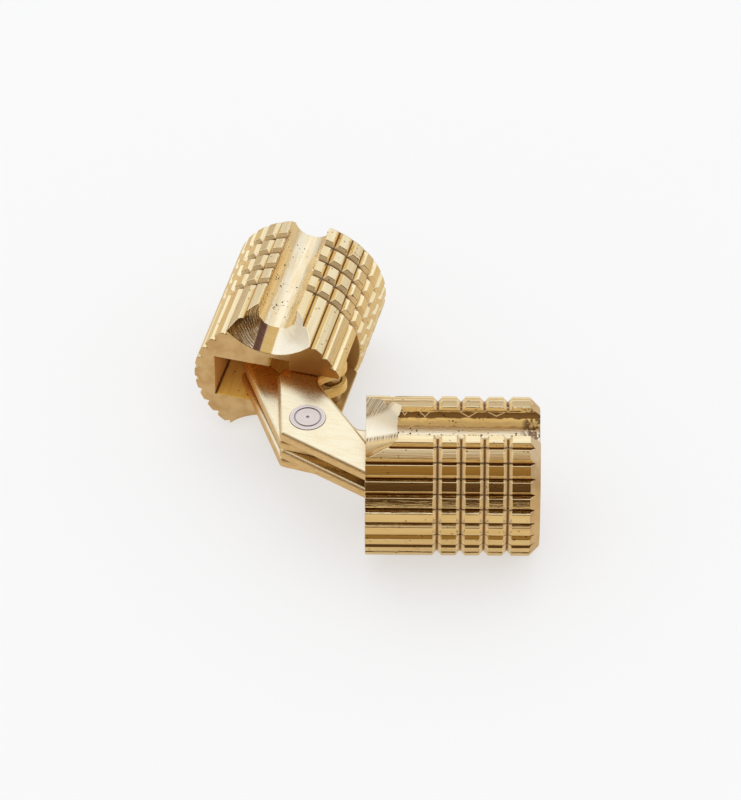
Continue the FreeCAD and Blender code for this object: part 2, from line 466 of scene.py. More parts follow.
@dataclass(frozen=True)
class FacedBrass(Finish):
    """End face of a barrel, with the arcs of the turning tool and, in front by the notch, a part with
    diagonal scoring whose lines are relief and whose dark brown is a painted reflection.
    """

    axis: Point = (0.0, 1.0, 0.0)
    arc_pitch: float = 0.11
    arc_rough: float = 0.9
    cloud_scale: float = 0.7
    # painted reflection: the dark brown by the notch stands in for the dark side of the turning marks'
    # sheen; the diagonal lines are relief
    scored: Colour = (0.60, 0.36, 0.11)
    scored_from: Band = (1.88, 1.93)
    scored_depth: float = 1.0
    score_across: Point = (0.83, 0.0, 0.56)
    score_pitch: float = 0.10
    score_levels: Band = (0.35, 0.65)
    score_shares: Band = (0.55, 1.0)

    def material(self, effects: Effects) -> bpy.types.Material:
        """Make the material."""
        material, book, shader = self.start()
        place = barrel_place(book)
        arcs = book.group(effects.rings, place=place, axis=self.axis,
                          pitch=self.arc_pitch).outputs["Around"]
        lines = book.group(effects.rings, place=place, axis=self.score_across,
                           pitch=self.score_pitch).outputs["Along"]
        across, along, height = book.split(place)
        in_front = book.math("MULTIPLY", book.math("GREATER_THAN", height, 0.0),
                             book.math("LESS_THAN", along, self.scored_depth))
        scored = book.math("MULTIPLY", book.spread(across, *self.scored_from, 0.0, 1.0), in_front)
        relief = book.math("ADD", arcs, book.math("MULTIPLY", scored, lines))
        self.close(book, shader, book.math("MULTIPLY", arcs, self.arc_rough), relief)
        # share of the painted reflection, following the diagonal lines
        score = book.math("MULTIPLY", scored, book.spread(lines, *self.score_levels, *self.score_shares))
        base = self.grain_tone(book, book.noise(place, self.cloud_scale))
        book.feed(shader.inputs["Base Color"], book.mix(score, base, self.scored))
        return material


@dataclass(frozen=True)
class Strip:
    """A band of painted reflection across a countersink, with soft limits and a share that follows the
    rings of the tool.
    """

    colour: Colour
    first: float
    last: float
    soft: float
    levels: Band
    shares: Band

    def window(self, book: NodeBook, side: Socket) -> Socket:
        """Share of the strip without the rings."""
        return book.window(side, self.first, self.last, self.soft)

    def share(self, book: NodeBook, side: Socket, rings: Socket) -> Socket:
        """Share of the strip's colour."""
        return book.math("MULTIPLY", self.window(book, side),
                         book.spread(rings, *self.levels, *self.shares))


@dataclass(frozen=True)
class SunkBrass(Finish):
    """Countersink: marked by a chattering cutter, and from side to side bands of painted reflection and
    shade, dark, golden and pale.
    """

    grain: Band = (0.52, 0.70)
    grain_share: float = 0.6
    apex: Point = (0.0, 4.3, 4.8)
    axis: Point = (0.0, -0.83867, 0.54464)
    ring_pitch: float = 0.09
    # painted reflection and shade by side of the cone: pale and half matte for painted light, golden for a
    # painted reflection, dark, matte and without gloss for painted shade
    pale: Strip = Strip((1.0, 0.91, 0.70), 0.35, FAR, 0.2, (0.50, 0.66), (1.0, 0.8))
    gold: Strip = Strip((0.52, 0.31, 0.08), -0.85, 0.2, 0.1, (0.40, 0.60), (1.0, 0.8))
    # the chatter band follows the real cutter rings; its dark tone is painted shade
    chatter: Strip = Strip((0.30, 0.17, 0.07), -FAR, -1.0, 0.25, (0.38, 0.58), (0.35, 1.0))
    dark: Strip = Strip((0.11, 0.045, 0.03), -1.5, -0.85, 0.08, (0.40, 0.60), (1.0, 0.85))
    pale_metal: float = 0.25
    gloss: float = 0.5

    def material(self, effects: Effects) -> bpy.types.Material:
        """Make the material."""
        material, book, shader = self.start()
        place = barrel_place(book)
        moved = book.vector("SUBTRACT", book.vector("ABSOLUTE", place), self.apex)
        rings = book.group(effects.rings, place=moved, axis=self.axis,
                           pitch=self.ring_pitch).outputs["Along"]
        across, _, height = book.split(place)
        side = book.math("MULTIPLY", across, book.math("SIGN", height))
        self.close(book, shader, rings, rings)
        base = self.grain_tone(book, rings)
        # lay the bands of painted reflection and shade
        for strip in (self.pale, self.gold, self.chatter, self.dark):
            base = book.mix(strip.share(book, side, rings), base, strip.colour)
        book.feed(shader.inputs["Base Color"], base)
        # the pale band is half matte and the dark band matte and without gloss: painted light and painted
        # shade
        metal = book.spread(self.pale.window(book, side), 0.0, 1.0, self.metallic, self.pale_metal)
        metal_kept = book.math("SUBTRACT", 1.0, self.dark.share(book, side, rings))
        book.feed(shader.inputs["Metallic"], book.math("MULTIPLY", metal, metal_kept))
        book.feed(shader.inputs["Specular IOR Level"], book.math("MULTIPLY", metal_kept, self.gloss))
        return material


@dataclass(frozen=True)
class MilledBrass(Finish):
    """Milled brass: lines along the barrel and black pits."""

    grain: Band = (0.40, 0.68)
    grain_share: float = 0.8
    stretch: Point = (3.2, 0.25, 3.2)
    pit_colour: Colour = (0.05, 0.03, 0.015)
    pit_density: float = 3.2
    pit_reach: float = 0.34

    def material(self, effects: Effects) -> bpy.types.Material:
        """Make the material."""
        material, book, shader = self.start()
        place = barrel_place(book)
        drawn = book.group(effects.streaks, place=place, stretch=self.stretch).outputs
        pits = book.group(effects.pits, place=place, density=self.pit_density,
                          reach=self.pit_reach).outputs["Pit"]
        self.close(book, shader, drawn["Fine"], book.math("SUBTRACT", drawn["Fine"], pits))
        base = self.painted_light_and_marks(book, shader, place, self.grain_tone(book, drawn["Streak"]))
        book.feed(shader.inputs["Base Color"], book.mix(pits, base, self.pit_colour))
        return material

    def painted_light_and_marks(self, book: NodeBook, shader: bpy.types.Node, place: Socket, base: Socket) -> Socket:
        """Lay painted light and marks over the plain colour; plain milled brass keeps it.

        Args:
            book: the book of the material's tree.
            shader: the shader node.
            place: place on the barrel, in its millimetres.
            base: the plain colour.

        Returns:
            The colour with painted light and marks.
        """
        return base


@dataclass(frozen=True)
class GrooveBrass(MilledBrass):
    """Screw groove: on one wall a dark band and a golden one, both painted reflection, with painted
    highlights on the burrs' edges; at its rear torn dark flecks.

    Each burr has its middle along the barrel, its half width and the height of its tip.
    """

    # painted reflection on barrel B's far groove wall, a dark band and a golden one; this share sets their
    # strength
    wall_paint_share: float = 0.9
    wall_side: float = -0.9
    wall_dark: Colour = (0.11, 0.043, 0.016)
    wall_gold: Colour = (1.0, 0.70, 0.27)
    waver_scale: float = 1.3
    waver_mm: float = 0.35
    dark_band: Band = (5.54, 6.16)
    dark_soft: float = 0.06
    gold_from: Band = (4.85, 5.05)
    gold_metal: float = 0.45
    torn_from: Band = (13.4, 14.2)
    torn_side: float = 0.3
    torn_scale: float = 2.6
    torn_levels: Band = (0.42, 0.54)
    torn_share: float = 0.85
    burrs: tuple[Point, ...] = (
        (3.4, 0.22, 5.82), (5.17, 0.45, 5.66), (9.0, 0.75, 5.66), (11.45, 0.72, 5.76))
    # painted highlights along the edges of the burrs
    burr_highlight_tone: Colour = (0.86, 0.62, 0.36)
    burr_metal: float = 0.3
    burr_line: Band = (0.02, 0.07)

    def painted_light_and_marks(self, book: NodeBook, shader: bpy.types.Node, place: Socket, base: Socket) -> Socket:
        """Lay the painted reflection bands, the painted highlights on the burrs and the torn flecks over
        the plain colour.
        """
        across, along, height = book.split(place)
        side = book.math("MULTIPLY", across, book.math("SIGN", height))
        level = book.math("ABSOLUTE", height)
        swing = book.math("SUBTRACT", book.noise(place, self.waver_scale), 0.5)
        wavy = book.math("ADD", level, book.math("MULTIPLY", swing, self.waver_mm))
        # painted reflection bands and burr highlights, on one wall only
        wall = book.math("MULTIPLY", book.math("LESS_THAN", side, self.wall_side), self.wall_paint_share)
        dark = book.math("MULTIPLY", wall, book.window(wavy, *self.dark_band, self.dark_soft))
        gold = book.math("MULTIPLY", wall, book.spread(wavy, *self.gold_from, 0.0, 1.0))
        burr = book.math("MULTIPLY", wall, self._burrs(book, along, level))
        golden = book.math("SUBTRACT", gold, dark)
        metal = book.spread(golden, 0.0, 1.0, self.metallic, self.gold_metal)
        metal_kept = book.spread(burr, 0.0, 1.0, 1.0, self.burr_metal)
        book.feed(shader.inputs["Metallic"], book.math("MULTIPLY", metal, metal_kept))
        flecks = book.spread(book.noise(place, self.torn_scale), *self.torn_levels, 0.0, self.torn_share)
        torn = book.math("MULTIPLY", book.spread(along, *self.torn_from, 0.0, 1.0), flecks)
        torn = book.math("MULTIPLY", torn, book.math("LESS_THAN", side, self.torn_side))
        # the dark band of painted reflection, together with the real torn flecks
        painted_light_and_marks = book.math("MAXIMUM", dark, torn)
        painted_bands_and_torn = book.mix(painted_light_and_marks, book.mix(gold, base, self.wall_gold), self.wall_dark)
        return book.mix(burr, painted_bands_and_torn, self.burr_highlight_tone)

    def _burrs(self, book: NodeBook, along: Socket, level: Socket) -> Socket:
        """Share of the painted highlights on the burrs' edges: each hangs as a V from the upper edge of the
        dark band.

        Args:
            book: the book of the material's tree.
            along: distance from the barrel's front face.
            level: height on the groove's wall.

        Returns:
            The share.
        """
        share: object = 0.0
        for middle, half, tip in self.burrs:
            aside = book.gap(along, middle)
            slope = (self.dark_band[1] - tip) / half
            slant = math.hypot(1.0, slope)
            away = book.gap(level, book.math("MULTIPLY_ADD", aside, slope, tip))
            line = book.spread(away, self.burr_line[0] * slant, self.burr_line[1] * slant, 1.0, 0.0)
            line = book.math("MULTIPLY", line, book.math("LESS_THAN", aside, half))
            share = book.math("MAXIMUM", share, line)
        return share


@dataclass(frozen=True)
class SlotBrass(MilledBrass):
    """Slot: amber and nearly matte inside, standing in for light bounced in it, with a browner end wall and
    painted shade in its corners, golden where it opens at the flank.
    """

    open_tone: Colour = (0.70, 0.48, 0.19)
    open_side: Band = (3.4, 4.6)
    open_metal: float = 0.75
    wall_tone: Colour = (0.76, 0.38, 0.11)
    wall_place: float = -5.1
    wall_touch: float = 0.02
    half_height: float = 2.3
    # painted shade in the corners where the end wall meets the slot's floor and roof
    corner_shade_tone: Colour = (0.16, 0.06, 0.02)
    corner_shade_reach: Band = (0.10, 0.24)
    corner_shade_share: float = 0.9

    def painted_light_and_marks(self, book: NodeBook, shader: bpy.types.Node, place: Socket, base: Socket) -> Socket:
        """Darken the end wall, paint shade into its corners, and make the open flank golden."""
        across, _, height = book.split(place)
        from_wall = book.gap(across, self.wall_place)
        base = book.mix(book.math("LESS_THAN", from_wall, self.wall_touch), base, self.wall_tone)
        from_floor = book.gap(book.math("ABSOLUTE", height), self.half_height)
        # painted shade in the corners
        corner_shade = book.spread(book.length(from_wall, from_floor), *self.corner_shade_reach, self.corner_shade_share, 0.0)
        base = book.mix(corner_shade, base, self.corner_shade_tone)
        opened = book.spread(across, *self.open_side, 0.0, 1.0)
        book.feed(shader.inputs["Metallic"], book.spread(opened, 0.0, 1.0, self.metallic, self.open_metal))
        return book.mix(opened, base, self.open_tone)


@dataclass(frozen=True)
class PlateBrass(Finish):
    """Face of a plate or its sheared edge: fine brushed lines, painted light in amber at the hooks, and a
    brown painted reflection inside barrel A.
    """

    grain: Band = (0.40, 0.70)
    grain_share: float = 0.7
    stretch: Point = (0.5, 3.0, 1.0)
    pit_density: float = 1.6
    pit_reach: float = 0.20
    pit_depth: float = 0.6
    hooks: tuple[Point, Point] = ((5.2, 2.3, 0.0), (12.222, -3.166, 0.0))
    hook_reach: Band = (1.7, 2.5)
    # painted light: amber, half matte tone near the hooks, where the plate would mirror the dark roof of
    # the notch
    hook_light_tone: Colour = (0.92, 0.62, 0.20)
    hook_metal: float = 0.35
    # painted reflection: brown on the plates inside barrel A's mouth, where they mirror the amber slot
    warm_place: Band = (-2.8, -1.2)
    warm_reflection_tone: Colour = (0.72, 0.38, 0.10)
    warm_share: float = 0.85

    def material(self, effects: Effects) -> bpy.types.Material:
        """Make the material."""
        material, book, shader = self.start()
        place = object_place(book)
        brushed = book.group(effects.streaks, place=place, stretch=self.stretch).outputs
        pits = book.group(effects.pits, place=place, density=self.pit_density,
                          reach=self.pit_reach).outputs["Pit"]
        height = book.math("SUBTRACT", brushed["Fine"], book.math("MULTIPLY", pits, self.pit_depth))
        self.close(book, shader, brushed["Fine"], height)
        flat = book.vector("MULTIPLY", place, IN_PLAN)
        away = [book.vector("DISTANCE", flat, hook, output="Value") for hook in self.hooks]
        hooked = book.spread(book.math("MINIMUM", *away), *self.hook_reach, 1.0, 0.0)
        lines = book.spread(brushed["Streak"], *self.grain, 0.0, self.grain_share)
        base = book.mix(book.math("MAXIMUM", lines, pits), self.light, self.deep)
        # share of the painted reflection inside barrel A
        warm_reflection = book.spread(book.split(place)[1], *self.warm_place, 0.0, self.warm_share)
        base = book.mix(warm_reflection, base, self.warm_reflection_tone)
        # painted light near the hooks
        book.feed(shader.inputs["Base Color"], book.mix(hooked, base, self.hook_light_tone))
        book.feed(shader.inputs["Metallic"], book.spread(hooked, 0.0, 1.0, self.metallic, self.hook_metal))
        return material


@dataclass(frozen=True)
class TurnedSteel(Finish):
    """Steel of the rivet and the pins, with rings round the rivet's axis."""

    centre: Point = RIVET
    axis: Point = (0.0, 0.0, 1.0)
    ring_pitch: float = 0.09
    mark: Colour = (0.34, 0.29, 0.28)
    ring_radius: float = 1.15
    ring_half: Band = (0.05, 0.09)
    dot_radius: Band = (0.10, 0.18)

    def material(self, effects: Effects) -> bpy.types.Material:
        """Make the material."""
        material, book, shader = self.start()
        moved = book.vector("SUBTRACT", object_place(book), self.centre)
        rings = book.group(effects.rings, place=moved, axis=self.axis,
                           pitch=self.ring_pitch).outputs["Around"]
        self.close(book, shader, rings, rings)
        away = book.vector("LENGTH", book.vector("MULTIPLY", moved, IN_PLAN), output="Value")
        from_ring = book.gap(away, self.ring_radius)
        mark = book.math("MAXIMUM", book.spread(from_ring, *self.ring_half, 1.0, 0.0),
                         book.spread(away, *self.dot_radius, 1.0, 0.0))
        book.feed(shader.inputs["Base Color"], book.mix(mark, self.grain_tone(book, rings), self.mark))
        return material


@dataclass
class Finishes:
    """All the finishes of the hinge, made once."""

    effects: Effects = field(default_factory=Effects)
    ridged: bpy.types.Material = field(init=False)
    faced: bpy.types.Material = field(init=False)
    sunk: dict[Half, bpy.types.Material] = field(init=False)
    milled: dict[Half, bpy.types.Material] = field(init=False)
    scraped: bpy.types.Material = field(init=False)
    slot: bpy.types.Material = field(init=False)
    rolled: bpy.types.Material = field(init=False)
    sheared: bpy.types.Material = field(init=False)
    steel: bpy.types.Material = field(init=False)

    def __post_init__(self) -> None:
        """Make the materials."""
        made = self.effects
        self.ridged = RidgedBrass("brass_ridged", (0.87, 0.70, 0.40), (0.79, 0.58, 0.28), 0.07, 0.22,
                                  bump=0.35, bump_mm=0.03).material(made)
        self.faced = FacedBrass("brass_faced", (0.74, 0.56, 0.33), (0.61, 0.42, 0.22), 0.30, 0.50,
                                bump=0.30, bump_mm=0.015).material(made)
        sunk = SunkBrass("brass_sunk_a", (0.88, 0.72, 0.46), (0.56, 0.34, 0.14), 0.12, 0.30,
                         bump=0.22, bump_mm=0.012)
        # barrel B's countersink faces the room differently, so its bands of painted reflection and shade
        # lie elsewhere and have other tones
        sunk_b = replace(
            sunk, name="brass_sunk_b",
            pale=replace(sunk.pale, first=-FAR, last=-0.6),
            gold=replace(sunk.gold, colour=(0.66, 0.45, 0.19), first=-0.2, last=FAR),
            chatter=replace(sunk.chatter, colour=(0.50, 0.37, 0.22), last=-2.45),
            dark=replace(sunk.dark, colour=(0.26, 0.15, 0.07), first=-0.62, last=-0.2, soft=0.2,
                         shares=(0.95, 0.15)))
        self.sunk = {Half.A: sunk.material(made), Half.B: sunk_b.material(made)}
        milled = MilledBrass("brass_milled_a", (0.88, 0.73, 0.48), (0.80, 0.60, 0.30), 0.14, 0.32,
                             bump=0.35, bump_mm=0.03)
        # barrel B's groove gets the painted reflection bands and burr highlights; barrel A's keeps the
        # plain milled finish
        milled_b = GrooveBrass("brass_milled_b", milled.light, milled.deep, milled.smooth, milled.coarse,
                               bump=milled.bump, bump_mm=milled.bump_mm)
        self.milled = {Half.A: milled.material(made), Half.B: milled_b.material(made)}
        self.scraped = MilledBrass("brass_scraped", (0.90, 0.77, 0.52), (0.82, 0.66, 0.39), 0.20, 0.34,
                                   bump=0.12, bump_mm=0.01).material(made)
        # the slot's amber, nearly matte tones stand in for light bounced inside the slot
        self.slot = SlotBrass("brass_slot", (1.0, 0.65, 0.15), (0.96, 0.53, 0.09), 0.26, 0.44,
                              bump=0.35, bump_mm=0.03, metallic=0.05, pit_density=1.6,
                              pit_reach=0.26).material(made)
        self.rolled = PlateBrass("plate_rolled", (0.87, 0.74, 0.48), (0.82, 0.66, 0.39), 0.20, 0.34,
                                 bump=0.12, bump_mm=0.01).material(made)
        self.sheared = PlateBrass("plate_sheared", (0.82, 0.63, 0.37), (0.68, 0.46, 0.22), 0.28, 0.48,
                                  bump=0.45, bump_mm=0.03, stretch=(1.5, 1.5, 6.0)).material(made)
        self.steel = TurnedSteel("rivet_steel", (0.72, 0.60, 0.50), (0.60, 0.49, 0.40), 0.18, 0.36,
                                 bump=0.2, bump_mm=0.01).material(made)


def plain_mesh(piece: bpy.types.Object) -> bpy.types.Mesh:
    """Mesh of a piece with its modifiers applied; the modifiers are taken off the piece."""
    bpy.context.view_layer.update()
    held = piece.evaluated_get(bpy.context.evaluated_depsgraph_get())
    mesh = bpy.data.meshes.new_from_object(held, depsgraph=bpy.context.evaluated_depsgraph_get())
    piece.modifiers.clear()
    return mesh


def new_piece(name: str, mesh: bpy.types.Mesh) -> bpy.types.Object:
    """Add an object to the scene."""
    piece = bpy.data.objects.new(name, mesh)
    bpy.context.scene.collection.objects.link(piece)
    return piece


@dataclass(frozen=True)
class SolidCopy:
    """A copy of a solid with its outer edges broken; inner corners stay sharp."""

    edge_mm: float
    segments: int = 2
    sharp: float = math.radians(24.0)
    flat: float = math.radians(0.6)
    most_corners: int = 8
    weld: float = 2e-7
    flat_kinds: tuple[int, ...] = ()

    def make(self, source: bpy.types.Object, name: str, materials: list[bpy.types.Material],
             sort: Callable[[Vector, Vector], int],
             ease: Callable[[Vector], float] = lambda middle: 1.0) -> bpy.types.Object:
        """Copy the solid, sort its faces by finish and break its edges.

        Args:
            source: the solid's object.
            name: name of the new piece.
            materials: the piece's materials.
            sort: gives a face's material index from its middle and its normal, in metres.
            ease: gives the share of the edge size that an edge gets, from its middle in metres.

        Returns:
            The new piece.
        """
        mesh = source.data.copy()
        mesh.materials.clear()
        for material in materials:
            mesh.materials.append(material)
        work = bmesh.new()
        work.from_mesh(mesh)
        bmesh.ops.remove_doubles(work, verts=work.verts, dist=self.weld)
        for face in work.faces:
            face.material_index = sort(face.calc_center_median(), face.normal)
        bmesh.ops.dissolve_limit(work, angle_limit=self.flat, verts=work.verts, edges=work.edges,
                                 delimit={"MATERIAL"})
        wide = [face for face in work.faces if len(face.verts) > self.most_corners]
        bmesh.ops.triangulate(work, faces=wide)
        for face in work.faces:
            face.smooth = face.material_index not in self.flat_kinds
        shares = work.edges.layers.float.new("bevel_weight_edge")
        for edge in work.edges:
            if edge.is_manifold and edge.calc_face_angle() > self.sharp:
                edge.smooth = False
                if edge.is_convex:
                    edge[shares] = ease((edge.verts[0].co + edge.verts[1].co) / 2)
        work.to_mesh(mesh)
        work.free()
        piece = new_piece(name, mesh)
        bevel = piece.modifiers.new("broken edges", "BEVEL")
        bevel.width = self.edge_mm * MM
        bevel.segments = self.segments
        bevel.limit_method = "WEIGHT"
        bevel.use_clamp_overlap = False
        bevel.harden_normals = True
        bevel.loop_slide = False
        bevel.miter_outer = "MITER_ARC"
        piece.data = plain_mesh(piece)
        return piece


def add_places(mesh: bpy.types.Mesh, to_local: Matrix) -> None:
    """Write each vertex's place in its barrel's own millimetres as an attribute."""
    layer = mesh.attributes.new(LOCAL, "FLOAT_VECTOR", "POINT")
    values = [number for vertex in mesh.vertices for number in to_local @ vertex.co]
    layer.data.foreach_set("vector", values)


class TreeBook(NodeBook):
    """Short hand for a geometry node tree with named inputs."""

    def __init__(self, name: str, inputs: dict[str, tuple[str, object]]) -> None:
        """Start the tree with its sockets and its output."""
        super().__init__(bpy.data.node_groups.new(name, "GeometryNodeTree"))
        for label, (kind, value) in inputs.items():
            socket = self.tree.interface.new_socket(name=label, in_out="INPUT", socket_type=kind)
            if value is not None:
                socket.default_value = value
        self.tree.interface.new_socket(name="Geometry", in_out="OUTPUT", socket_type="NodeSocketGeometry")
        self.taken = self.add("NodeGroupInput").outputs
        self.given = self.add("NodeGroupOutput").inputs

    def close(self, geometry: Socket) -> None:
        """End the tree in plain geometry with its material."""
        real = self.add("GeometryNodeRealizeInstances")
        self.feed(real.inputs["Geometry"], geometry)
        dressed = self.add("GeometryNodeSetMaterial")
        self.feed(dressed.inputs["Geometry"], real.outputs["Geometry"])
        self.feed(dressed.inputs["Material"], self.taken["Material"])
        self.feed(self.given["Geometry"], dressed.outputs["Geometry"])

    def grow(self, name: str, **values: object) -> bpy.types.Mesh:
        """Run the tree with its own values and give the plain mesh.

        Args:
            name: name of the mesh.
            values: input values by name, with underscores for spaces.

        Returns:
            The mesh.
        """
        piece = new_piece(name, bpy.data.meshes.new(name))
        modifier = piece.modifiers.new(name, "NODES")
        modifier.node_group = self.tree
        wanted = {key.replace("_", " ").title(): value for key, value in values.items()}
        for item in self.tree.interface.items_tree:
            if item.in_out == "INPUT" and item.name in wanted:
                modifier[item.identifier] = wanted[item.name]
        mesh = plain_mesh(piece)
        bpy.data.objects.remove(piece)
        return mesh


class BurrTree(TreeBook):
    """Torn flakes along a straight edge: points on a line, thinned at random, each with a small chip."""

    seed_step = 17

    def __init__(self) -> None:
        """Build the tree."""
        super().__init__("Burrs", {
            "Start": ("NodeSocketVector", None), "End": ("NodeSocketVector", None),
            "Count": ("NodeSocketInt", 40), "Size": ("NodeSocketFloat", 0.2),
            "Lean": ("NodeSocketFloat", 0.0), "Loss": ("NodeSocketFloat", 0.4),
            "Seed": ("NodeSocketInt", 1), "Material": ("NodeSocketMaterial", None)})
        taken = self.taken
        line = self.add("GeometryNodeMeshLine", mode="END_POINTS")
        self.feed(line.inputs["Count"], taken["Count"])
        self.feed(line.inputs["Start Location"], taken["Start"])
        self.feed(line.inputs["Offset"], taken["End"])
        lost = self._random("BOOLEAN", 0, Probability=taken["Loss"])
        thin = self.add("GeometryNodeDeleteGeometry", domain="POINT")
        self.feed(thin.inputs["Geometry"], line.outputs["Mesh"])
        self.feed(thin.inputs["Selection"], lost)
        stir = self.add("GeometryNodeSetPosition")
        self.feed(stir.inputs["Geometry"], thin.outputs["Geometry"])
        self.feed(stir.inputs["Offset"], self._random("FLOAT_VECTOR", 1, Min=(-0.02, -0.15, -0.02),
                                                      Max=(0.02, 0.15, 0.02)))
        chip = self.add("GeometryNodeMeshCone", fill_type="NGON")
        for label, value in (("Vertices", 5), ("Side Segments", 2), ("Radius Top", 0.10),
                             ("Radius Bottom", 0.42), ("Depth", 0.7)):
            chip.inputs[label].default_value = value
        flat = self.add("GeometryNodeTransform")
        self.feed(flat.inputs["Geometry"], chip.outputs["Mesh"])
        flat.inputs["Scale"].default_value = (0.30, 1.5, 1.0)
        stray = self._random("FLOAT_VECTOR", 2, Min=(-0.5, -0.7, -0.6), Max=(0.5, 0.7, 0.6))
        turn = self.vector("ADD", self.join(y=taken["Lean"]), stray)
        size = self.math("MULTIPLY", taken["Size"], self._random("FLOAT", 3, Min=0.35, Max=1.0))
        grown = self.add("GeometryNodeInstanceOnPoints")
        self.feed(grown.inputs["Points"], stir.outputs["Geometry"])
        self.feed(grown.inputs["Instance"], flat.outputs["Geometry"])
        self.feed(grown.inputs["Rotation"], turn)
        self.feed(grown.inputs["Scale"], size)
        self.close(grown.outputs["Instances"])

    def _random(self, kind: str, step: int, **limits: object) -> Socket:
        """Random value for each point, with a seed that follows the tree's own."""
        node = self.add("FunctionNodeRandomValue", data_type=kind)
        sort = {"FLOAT": "VALUE", "FLOAT_VECTOR": "VECTOR", "BOOLEAN": "BOOLEAN"}[kind]
        for label, value in limits.items():
            socket = [item for item in node.inputs if item.name == label and item.enabled][0]
            self.feed(socket, value)
        seed = self.math("ADD", self.taken["Seed"], float(step * self.seed_step))
        self.feed([item for item in node.inputs if item.name == "Seed"][0], seed)
        return [item for item in node.outputs if item.type == sort][0]


class ChatterTree(TreeBook):
    """Ridges of a chattering cutter: arcs round the cone's axis, kept on one side of the countersink."""

    ring_points = 160
    wire_points = 4
    tilt = math.radians(57.0)
    rim_margins = 12.0

    def __init__(self) -> None:
        """Build the tree."""
        super().__init__("Chatter", {
            "Count": ("NodeSocketInt", 20), "First": ("NodeSocketFloat", 1.9),
            "Pitch": ("NodeSocketFloat", 0.17), "Thickness": ("NodeSocketFloat", 0.032),
            "Barrel Radius": ("NodeSocketFloat", 7.0), "Reach": ("NodeSocketFloat", 4.3),
            "Floor": ("NodeSocketFloat", 4.8), "Groove Radius": ("NodeSocketFloat", 1.75),
            "Groove Centre": ("NodeSocketFloat", 6.25), "Margin": ("NodeSocketFloat", 0.04),
            "Side": ("NodeSocketFloat", -0.9), "Material": ("NodeSocketMaterial", None)})
        taken = self.taken
        line = self.add("GeometryNodeMeshLine", mode="OFFSET")
        self.feed(line.inputs["Count"], taken["Count"])
        self.feed(line.inputs["Start Location"], self.join(z=taken["First"]))
        self.feed(line.inputs["Offset"], self.join(z=taken["Pitch"]))
        circle = self.add("GeometryNodeCurvePrimitiveCircle", mode="RADIUS")
        circle.inputs["Resolution"].default_value = self.ring_points
        circle.inputs["Radius"].default_value = 1.0
        width = self.split(self.add("GeometryNodeInputPosition").outputs[0])[2]
        rings = self.add("GeometryNodeInstanceOnPoints")
        self.feed(rings.inputs["Points"], line.outputs["Mesh"])
        self.feed(rings.inputs["Instance"], circle.outputs["Curve"])
        self.feed(rings.inputs["Scale"], self.join(width, width, width))
        real = self.add("GeometryNodeRealizeInstances")
        self.feed(real.inputs["Geometry"], rings.outputs["Instances"])
        set_down = self.add("GeometryNodeTransform")
        self.feed(set_down.inputs["Geometry"], real.outputs["Geometry"])
        self.feed(set_down.inputs["Translation"], self.join(y=taken["Reach"], z=taken["Floor"]))
        set_down.inputs["Rotation"].default_value = (self.tilt, 0.0, 0.0)
        kept = self.add("GeometryNodeDeleteGeometry", domain="POINT")
        self.feed(kept.inputs["Geometry"], set_down.outputs["Geometry"])
        self.feed(kept.inputs["Selection"], self._off_surface())
        wire = self.add("GeometryNodeCurvePrimitiveCircle", mode="RADIUS")
        wire.inputs["Resolution"].default_value = self.wire_points
        self.feed(wire.inputs["Radius"], taken["Thickness"])
        ridge = self.add("GeometryNodeCurveToMesh")
        self.feed(ridge.inputs["Curve"], kept.outputs["Geometry"])
        self.feed(ridge.inputs["Profile Curve"], wire.outputs["Curve"])
        ridge.inputs["Fill Caps"].default_value = True
        self.close(ridge.outputs["Mesh"])

    def _off_surface(self) -> Socket:
        """Selection of points outside the barrel, before its face, in the groove or on the smooth side."""
        taken = self.taken
        across, along, height = self.split(self.add("GeometryNodeInputPosition").outputs[0])
        inset = self.math("MULTIPLY", taken["Margin"], self.rim_margins)
        outside = self.math("GREATER_THAN", self.length(across, height),
                            self.math("SUBTRACT", taken["Barrel Radius"], inset))
        ahead = self.math("LESS_THAN", along, taken["Margin"])
        to_groove = self.length(across, self.math("SUBTRACT", height, taken["Groove Centre"]))
        in_groove = self.math("LESS_THAN", to_groove,
                              self.math("ADD", taken["Groove Radius"], taken["Margin"]))
        above = self.math("MULTIPLY", self.math("GREATER_THAN", height, taken["Groove Centre"]),
                          self.math("LESS_THAN", self.math("ABSOLUTE", across), taken["Groove Radius"]))
        off = self.math("GREATER_THAN", across, taken["Side"])
        for share in (outside, ahead, in_groove, above):
            off = self.math("MAXIMUM", off, share)
        return off


